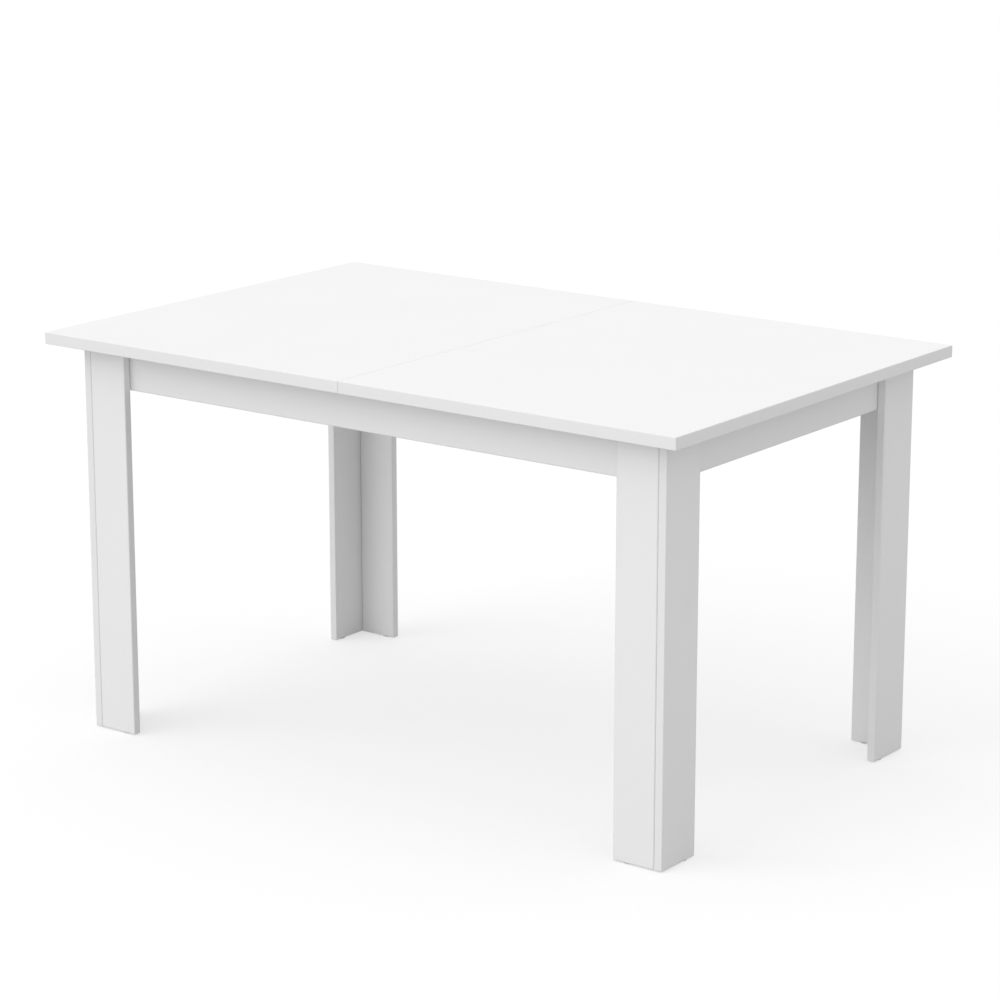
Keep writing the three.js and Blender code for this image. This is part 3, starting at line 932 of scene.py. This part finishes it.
class TABLE_OT_dowels(bpy.types.Operator):
    """The fluted beech dowels that line up the halves and the leaf"""

    bl_idname = "table.dowels"
    bl_label = "Dowels"

    def execute(self, context):
        dowel = self.add_dowel()
        quarter = Matrix.Rotation(radians(90), 4, "Z")
        runs = (
            ("seam_dowel", Matrix.Identity(4), finish_of(make_beech, "lengthwise", (0.12, 1, 1))),
            ("leaf_dowel", quarter, finish_of(make_beech, "crosswise", (1, 0.12, 1))),
        )
        for word, turned, beech in runs:
            for i in (1, 2, 3):
                node = f"{word}_{i}"
                piece = copied(dowel, Matrix.Translation(middle_of(node)) @ turned)
                finish_piece(piece, f"{node}_fluted", body_of_node(node), [beech], [node])
        bpy.data.objects.remove(dowel)
        return {"FINISHED"}

    def add_dowel(self):
        """A dowel along X with its middle at the origin."""
        low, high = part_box("seam_dowel_1")
        half = (high.x - low.x) / 2
        dowel = rod((high.z - low.z) / 2, (-half, 0, 0), (half, 0, 0), sides=60)
        edit(dowel)
        select(dowel, "EDGE", lambda edge: abs(edge.verts[1].co.x - edge.verts[0].co.x) < NEAR)
        bpy.ops.mesh.bevel(offset=1 * MM, segments=2, affect="EDGES")
        # Every fifth side is pressed in, which leaves the flutes that let glue and air out.
        mesh = bmesh.from_edit_mesh(dowel.data)
        sides = [face for face in mesh.faces if abs(face.normal.x) < 0.01]
        sides.sort(key=lambda face: face.normal.yz.angle_signed(Vector((1, 0))))
        flutes = {face.index for face in sides[::5]}
        select(dowel, "FACE", lambda face: face.index in flutes)
        bpy.ops.mesh.inset(thickness=0.08 * MM, depth=-0.25 * MM, use_individual=True)
        done()
        return dowel


class TABLE_OT_felt_pads(bpy.types.Operator):
    """The felt pads that the stored leaf lies on"""

    bl_idname = "table.felt_pads"
    bl_label = "Felt pads"

    def execute(self, context):
        matted = bpy.data.textures.new("matted_felt", "CLOUDS")
        matted.noise_scale = 3 * MM
        pad = block(*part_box("left_leaf_pad"))
        edit(pad)
        select(pad, "FACE", lambda face: abs(face.normal.z) > 0.9)
        bpy.ops.mesh.inset(thickness=0.5 * MM)
        bpy.ops.mesh.select_all(action="SELECT")
        bpy.ops.mesh.subdivide(number_cuts=24)
        done()
        ease_edges(pad, 0.35 * MM, degrees=60)
        nap = {"texture": matted, "texture_coords": "LOCAL", "strength": 0.3 * MM, "mid_level": 0.8}
        apply_modifier(pad, "DISPLACE", **nap)
        for one, end in to_ends(pad):
            node = f"{end}_leaf_pad"
            finish_piece(one, f"{node}_felt", "frame", [finish_of(make_felt)], [node], degrees=60)
        return {"FINISHED"}


# ---- sheet-metal parts ----


def draw_line(points):
    """A line of edges drawn from point to point, left open for editing."""
    bpy.ops.object.select_all(action="DESELECT")
    bpy.ops.mesh.primitive_plane_add(size=MM, location=points[0])
    line = bpy.context.active_object
    settle(line)
    edit(line, "VERT")
    bpy.ops.mesh.select_all(action="SELECT")
    bpy.ops.mesh.merge(type="CENTER")
    for start, end in zip(points, points[1:]):
        step = Vector(end) - Vector(start)
        bpy.ops.mesh.extrude_region_move(TRANSFORM_OT_translate={"value": step})
    return line


def fold(line, run, thickness, bend):
    """A strip of sheet metal that follows a line of points in its section, and runs along a vector.

    The line is the middle of the sheet, and each inner point of it is a fold of the given radius.
    """
    run = Vector(run)
    corners = [Vector(point) for point in line[1:-1]]
    strip = draw_line(line)
    bpy.ops.mesh.select_mode(type="EDGE")
    bpy.ops.mesh.select_all(action="SELECT")
    bpy.ops.mesh.extrude_region_move(TRANSFORM_OT_translate={"value": run})

    def is_fold(edge):
        start, end = (v.co for v in edge.verts)
        if abs((end - start).dot(run.normalized())) < run.length - NEAR:
            return False
        return any(min((start - corner).length, (end - corner).length) < NEAR for corner in corners)

    select(strip, "EDGE", is_fold)
    bpy.ops.mesh.bevel(offset=bend, segments=4, affect="EDGES")
    done()
    point_outwards(strip)
    apply_modifier(strip, "SOLIDIFY", thickness=thickness, offset=0, use_even_offset=True)
    point_outwards(strip)
    return strip


def with_mirror(upper, middle):
    """A section's upper points, and then the same points below its middle."""
    return upper + [(x, y, 2 * middle - z) for x, y, z in reversed(upper)]


def punch(sheet, places, radius):
    """Punches a round hole at each (point, outward direction) of a sheet-metal part."""
    reach = 6 * MM
    cut_away(sheet, [rod(radius, at - out * reach, at + out * reach, 24) for at, out in places])


class TABLE_OT_slides(bpy.types.Operator):
    """The slides: a channel on each long apron, and a runner under each half of the top"""

    bl_idname = "table.slides"
    bl_label = "Ball-bearing slides"

    def execute(self, context):
        settings = context.scene.table_hardware
        self.add_channels(settings)
        self.add_runners(settings)
        return {"FINISHED"}

    def add_channels(self, settings):
        low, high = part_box("front_slide_channel")
        steel = settings.slide_steel
        back, face = low.y + steel / 2, high.y - steel / 2
        middle, flange = (low.z + high.z) / 2, high.z - steel / 2
        lip = high.z - steel - settings.channel_lip
        line = with_mirror([(low.x, face, lip), (low.x, face, flange), (low.x, back, flange)], middle)
        channel = fold(line, (high.x - low.x, 0, 0), steel, settings.bend_radius)
        pitch = settings.channel_screw_pitch
        inward = Vector((0, 1, 0))
        places = [
            (Vector((end * (i + 0.5) * pitch, low.y + steel, middle)), inward)
            for i in range(3)
            for end in (-1, 1)
        ]
        punch(channel, places, SLIDE_HOLE)
        ease_edges(channel, SLIDE_BURR)
        screws = set_screws(places, sunk=True, size=0.9)
        finish_steel(to_sides(channel), "slide_channel", "rolled")
        finish_steel(to_sides(screws), "slide_channel", "screws", replaces=False)

    def add_runners(self, settings):
        low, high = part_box("front_left_slide_runner")
        steel = settings.slide_steel
        back, face = low.y + steel / 2, high.y - steel / 2
        middle, flange = (low.z + high.z) / 2, high.z - settings.runner_lip - steel / 2
        line = with_mirror([(low.x, back, high.z), (low.x, back, flange), (low.x, face, flange)], middle)
        runner = fold(line, (high.x - low.x, 0, 0), steel, settings.bend_radius)
        ease_edges(runner, SLIDE_BURR)
        finish_steel(to_corners(runner), "slide_runner", "rolled")


class TABLE_OT_ball_cages(bpy.types.Operator):
    """The ball cages that run at half speed between channel and runner"""

    bl_idname = "table.ball_cages"
    bl_label = "Ball cages"

    def execute(self, context):
        settings = context.scene.table_hardware
        low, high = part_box("front_left_ball_cage")
        radius, steel = settings.ball_radius, settings.cage_steel
        back, face = low.y + steel / 2, high.y
        middle, row = (low.z + high.z) / 2, high.z - radius
        line = with_mirror([(low.x, face, row), (low.x, back, row)], middle)
        cage = fold(line, (high.x - low.x, 0, 0), steel, CAGE_BEND)

        pitch = (high.x - low.x) / settings.balls_per_row
        xs = [low.x + (i + 0.5) * pitch for i in range(settings.balls_per_row)]
        places = [Vector((x, face - radius, z)) for x in xs for z in (row, 2 * middle - row)]
        punch(cage, [(at, Vector((0, 0, 1))) for at in places], radius * 0.98)
        ease_edges(cage, STRIP_BURR)

        bpy.ops.object.select_all(action="DESELECT")
        bpy.ops.mesh.primitive_uv_sphere_add(segments=24, ring_count=14, radius=radius)
        ball = bpy.context.active_object
        balls = join([copied(ball, Matrix.Translation(at)) for at in places])
        bpy.data.objects.remove(ball)

        strip, lapped = [finish_of(make_spring_strip)], [finish_of(make_bearing_steel)]
        for one, corner in to_corners(cage):
            node = f"{corner}_ball_cage"
            finish_piece(one, f"{node}_strip", body_of_node(node), strip, [node])
        for one, corner in to_corners(balls):
            node = f"{corner}_ball_cage"
            finish_piece(one, f"{node}_balls", body_of_node(node), lapped, degrees=60)
        return {"FINISHED"}


class TABLE_OT_corner_brackets(bpy.types.Operator):
    """The angle brackets that tie the aprons in the corners, and their screws"""

    bl_idname = "table.corner_brackets"
    bl_label = "Corner brackets"

    def execute(self, context):
        settings = context.scene.table_hardware
        low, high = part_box("front_left_corner_bracket")
        steel = settings.bracket_steel
        x, y = low.x + steel / 2, low.y + steel / 2
        line = [(high.x, y, low.z), (x, y, low.z), (x, high.y, low.z)]
        bracket = fold(line, (0, 0, high.z - low.z), steel, settings.bracket_bend)

        leg = high.x - low.x
        corner = Vector((low.x, low.y, (low.z + high.z) / 2))
        to_x, to_y = Vector((1, 0, 0)), Vector((0, 1, 0))
        places = []
        for share in (0.45, 0.8):
            places.append((corner + to_x * leg * share + to_y * steel, to_y))
            places.append((corner + to_y * leg * share + to_x * steel, to_x))
        punch(bracket, places, BRACKET_HOLE)

        def is_free_corner(edge):
            start, end = (v.co for v in edge.verts)
            ends_flat = any(max(abs(start.z - z), abs(end.z - z)) < NEAR for z in (low.z, high.z))
            at_x = max(abs(start.x - high.x), abs(end.x - high.x)) < NEAR
            at_y = max(abs(start.y - high.y), abs(end.y - high.y)) < NEAR
            return ends_flat and (at_x or at_y)

        edit(bracket)
        select(bracket, "EDGE", is_free_corner)
        bpy.ops.mesh.bevel(offset=BRACKET_CORNER, segments=5, affect="EDGES")
        done()
        ease_edges(bracket, STAMPED_BURR)
        screws = set_screws(places)
        finish_steel(to_corners(bracket), "corner_bracket", "folded")
        finish_steel(to_corners(screws), "corner_bracket", "screws", replaces=False)
        return {"FINISHED"}


# ---- screws ----


def screw_head(size, sunk):
    """A cross-recessed wood screw's head at the origin, facing up, as a master to copy."""
    radius = bpy.context.scene.table_hardware.screw_head / 2 * size
    height = 1.6 * MM
    proud, rim = (0.04 * MM, 0.1 * MM) if sunk else (height, 0.9 * MM)
    head = rod(radius, (0, 0, proud - height), (0, 0, proud), 32)
    if sunk:
        edit(head)
        select(head, "FACE", lambda face: face.normal.z < -FLAT)
        bpy.ops.transform.resize(value=(0.45, 0.45, 1))
        done()
    round_rim(head, proud, rim, 3)
    arm, web, deep = radius * 0.52, radius * 0.11, 1 * MM
    cut_away(head, [
        block((-arm, -web, proud - deep), (arm, web, proud + deep)),
        block((-web, -arm, proud - deep), (web, arm, proud + deep)),
    ])
    return head


def set_screws(places, sunk=False, size=1.0):
    """Screw heads at (point, outward direction) places, each turned as it happened to stop."""
    master = screw_head(size, sunk)
    heads = []
    for number, (at, out) in enumerate(places):
        facing = Vector(out).to_track_quat("Z", "Y").to_matrix().to_4x4()
        stopped = Matrix.Rotation(radians(37 * number + 11), 4, "Z")
        heads.append(copied(master, Matrix.Translation(at) @ facing @ stopped))
    bpy.data.objects.remove(master)
    return join(heads)


# ---- latches ----


class TABLE_OT_latches(bpy.types.Operator):
    """The hook latches that hold the two halves together, with their keepers"""

    bl_idname = "table.latches"
    bl_label = "Latches"

    def execute(self, context):
        settings = context.scene.table_hardware
        self.add_plates(settings, "latch_plate", 2)
        self.add_plates(settings, "latch_keeper", 1)
        self.add_studs(settings)
        self.add_pivots(settings)
        self.add_levers(settings)
        return {"FINISHED"}

    def add_plates(self, settings, word, rows):
        """The front and rear plates of one kind, with one or two rows of two screws."""
        low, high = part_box(f"front_{word}")
        low.z = high.z - settings.plate_steel
        plate = block(low, high)
        edit(plate)
        select(plate, "EDGE", lambda edge: abs(edge.verts[0].co.z - edge.verts[1].co.z) > MM)
        bpy.ops.mesh.bevel(offset=PLATE_CORNER, segments=5, affect="EDGES")
        done()
        inset = settings.plate_screw_inset
        xs = (low.x + inset, high.x - inset)
        ys = (low.y + inset, high.y - inset) if rows == 2 else ((low.y + high.y) / 2,)
        places = [(Vector((x, y, low.z)), Vector((0, 0, -1))) for x in xs for y in ys]
        punch(plate, places, PLATE_HOLE)
        ease_edges(plate, STAMPED_BURR)
        screws = set_screws(places, sunk=True, size=0.75)
        finish_steel(to_sides(plate), word, "stamped")
        finish_steel(to_sides(screws), word, "screws", replaces=False)

    def add_studs(self, settings):
        low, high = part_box("front_latch_keeper")
        x, y = (low.x + high.x) / 2, (low.y + high.y) / 2
        stud = rod(settings.stud_radius, (x, y, low.z), (x, y, high.z - settings.plate_steel))
        round_rim(stud, low.z, 0.6 * MM, 3)
        finish_steel(to_sides(stud), "latch_keeper", "stud", replaces=False)

    def add_pivots(self, settings):
        low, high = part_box("front_latch_pivot")
        x, y = (low.x + high.x) / 2, (low.y + high.y) / 2
        head = low.z + settings.pivot_head
        rivet = rod((high.x - low.x) / 2, (x, y, low.z), (x, y, head))
        round_rim(rivet, low.z, 1.2 * MM, 5)
        shank = rod(settings.stud_radius, (x, y, low.z + settings.pivot_head / 2), (x, y, high.z))
        apply_modifier(rivet, "BOOLEAN", object=shank, operation="UNION", solver="EXACT")
        bpy.data.objects.remove(shank)
        finish_steel(to_sides(rivet), "latch_pivot", "rivet")

    def add_levers(self, settings):
        low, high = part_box("front_latch_lever")
        pivot = middle_of("front_latch_pivot")
        reach = middle_of("front_latch_keeper").x - pivot.x
        steel, half = settings.lever_steel, settings.lever_width / 2
        z, tip = high.z - steel / 2, reach + settings.lever_tip
        heel = -settings.lever_handle + steel / 2
        line = [(tip, -half, z), (heel, -half, z), (heel, -half, low.z)]
        lever = fold(line, (0, 2 * half, 0), steel, LEVER_BEND)
        throat = settings.stud_radius + settings.throat_clearance
        above, below = z + 3 * steel, z - 3 * steel
        cut_away(lever, [
            rod(throat, (reach, 0, below), (reach, 0, above)),
            block((reach - throat, -2 * half, below), (reach + throat, 0, above)),
            rod(settings.stud_radius + PIVOT_PLAY, (0, 0, z - steel), (0, 0, above)),
        ])

        def is_nose(edge):
            return all(abs(v.co.x - tip) < NEAR and abs(v.co.y - half) < NEAR for v in edge.verts)

        edit(lever)
        select(lever, "EDGE", is_nose)
        bpy.ops.mesh.bevel(offset=LEVER_NOSE, segments=6, affect="EDGES")
        done()
        ease_edges(lever, LEVER_BURR)
        turned = Matrix.Rotation(settings.lever_open, 4, "Z")
        lever.matrix_world = Matrix.Translation((pivot.x, pivot.y, 0)) @ turned
        settle(lever)
        finish_steel(to_sides(lever), "latch_lever", "stamped")


# ---- stage ----


class TABLE_OT_stage(bpy.types.Operator):
    """A pale floor, soft lights and the camera"""

    bl_idname = "table.stage"
    bl_label = "Stage"

    def execute(self, context):
        settings = context.scene.table_stage
        context.scene.view_settings.view_transform = "Standard"
        self.add_camera(context.scene, settings)
        self.add_floor(settings)
        self.add_room(context.scene, settings)
        self.add_light("overhead_light", (-0.1, -0.05, 1.0), 50, settings.overhead_strength)
        self.add_light("front_light", (-0.45, -0.8, 0.5), 60, settings.key_strength)
        return {"FINISHED"}

    def add_camera(self, scene, settings):
        data = bpy.data.cameras.new("camera")
        data.lens = settings.lens
        data.sensor_width = 36
        camera = bpy.data.objects.new("camera", data)
        camera.location = settings.camera_place
        camera.rotation_euler = (radians(90) - settings.camera_elevation, 0, settings.camera_azimuth)
        scene.collection.objects.link(camera)
        scene.camera = camera

    def add_floor(self, settings):
        bpy.ops.object.select_all(action="DESELECT")
        bpy.ops.mesh.primitive_plane_add(size=settings.floor_size, location=(0, 0, 0))
        floor = bpy.context.active_object
        floor.name = "studio_floor"
        settle(floor)
        floor.data.materials.append(self.make_vinyl(settings))

    def make_vinyl(self, settings):
        # Seamless white vinyl, washed out by the studio's light so that it shows hardly any shadow.
        made, tree, place = new_material("Seamless white vinyl floor")
        mottle = add_node(tree, "ShaderNodeTexNoise", {"Vector": place, "Scale": per_metre(4), "Detail": 2})
        white = settings.floor_white
        tones = {0: mottle.outputs["Fac"], 6: shade([white] * 3, 0.99), 7: shade([white] * 3, 1.01)}
        colour = add_node(tree, "ShaderNodeMix", tones, data_type="RGBA")
        seen = add_node(tree, "ShaderNodeLightPath").outputs["Is Camera Ray"]
        limits = {"Value": seen, "To Min": settings.floor_fill, "To Max": settings.floor_glow}
        glow = add_node(tree, "ShaderNodeMapRange", limits)
        shader = add_node(tree, "ShaderNodeBsdfPrincipled", {
            "Base Color": colour.outputs[2],
            "Roughness": 0.9,
            "Specular IOR Level": 0.0,
            "Emission Color": (1, 1, 1, 1),
            "Emission Strength": glow.outputs["Result"],
        })
        # From beneath the floor is clear, so the table's underside can be looked at.
        beneath = add_node(tree, "ShaderNodeNewGeometry").outputs["Backfacing"]
        clear = add_node(tree, "ShaderNodeBsdfTransparent").outputs["BSDF"]
        sided = add_node(tree, "ShaderNodeMixShader", {0: beneath, 1: shader.outputs["BSDF"], 2: clear})
        add_node(tree, "ShaderNodeOutputMaterial", {"Surface": sided.outputs["Shader"]})
        return made

    def add_room(self, scene, settings):
        world = bpy.data.worlds.new("white room")
        scene.world = world
        world.use_nodes = True
        inputs = world.node_tree.nodes["Background"].inputs
        inputs["Color"].default_value = (1, 1, 1, 1)
        inputs["Strength"].default_value = settings.sky

    def add_light(self, name, towards, spread, strength):
        data = bpy.data.lights.new(name, "SUN")
        data.angle = radians(spread)
        data.energy = strength
        light = bpy.data.objects.new(name, data)
        light.rotation_euler = Vector(towards).to_track_quat("Z", "Y").to_euler()
        bpy.context.scene.collection.objects.link(light)


# ---- panel and registration ----

OPERATORS = (
    TABLE_OT_stage,
    TABLE_OT_top_halves,
    TABLE_OT_insert_leaf,
    TABLE_OT_aprons,
    TABLE_OT_legs,
    TABLE_OT_battens_and_rails,
    TABLE_OT_glides,
    TABLE_OT_dowels,
    TABLE_OT_felt_pads,
    TABLE_OT_slides,
    TABLE_OT_ball_cages,
    TABLE_OT_corner_brackets,
    TABLE_OT_latches,
)


class TABLE_PT_panel(bpy.types.Panel):
    """Lists the table's pieces and the stage"""

    bl_idname = "TABLE_PT_panel"
    bl_label = "Extendable dining table"
    bl_space_type = "VIEW_3D"
    bl_region_type = "UI"
    bl_category = "Table"

    def draw(self, context):
        column = self.layout.column()
        for operator in OPERATORS:
            column.operator(operator.bl_idname)


SETTINGS = (
    ("table_boards", BoardSettings),
    ("table_hardware", HardwareSettings),
    ("table_stage", StageSettings),
)


def register():
    for name, group in SETTINGS:
        bpy.utils.register_class(group)
        setattr(bpy.types.Scene, name, PointerProperty(type=group))
    for kind in (*OPERATORS, TABLE_PT_panel):
        bpy.utils.register_class(kind)


def unregister():
    for kind in reversed((*OPERATORS, TABLE_PT_panel)):
        bpy.utils.unregister_class(kind)
    for name, group in reversed(SETTINGS):
        delattr(bpy.types.Scene, name)
        bpy.utils.unregister_class(group)


def main():
    register()
    for operator in OPERATORS:
        _, name = operator.bl_idname.split(".")
        getattr(bpy.ops.table, name)()


if __name__ == "__main__":
    main()
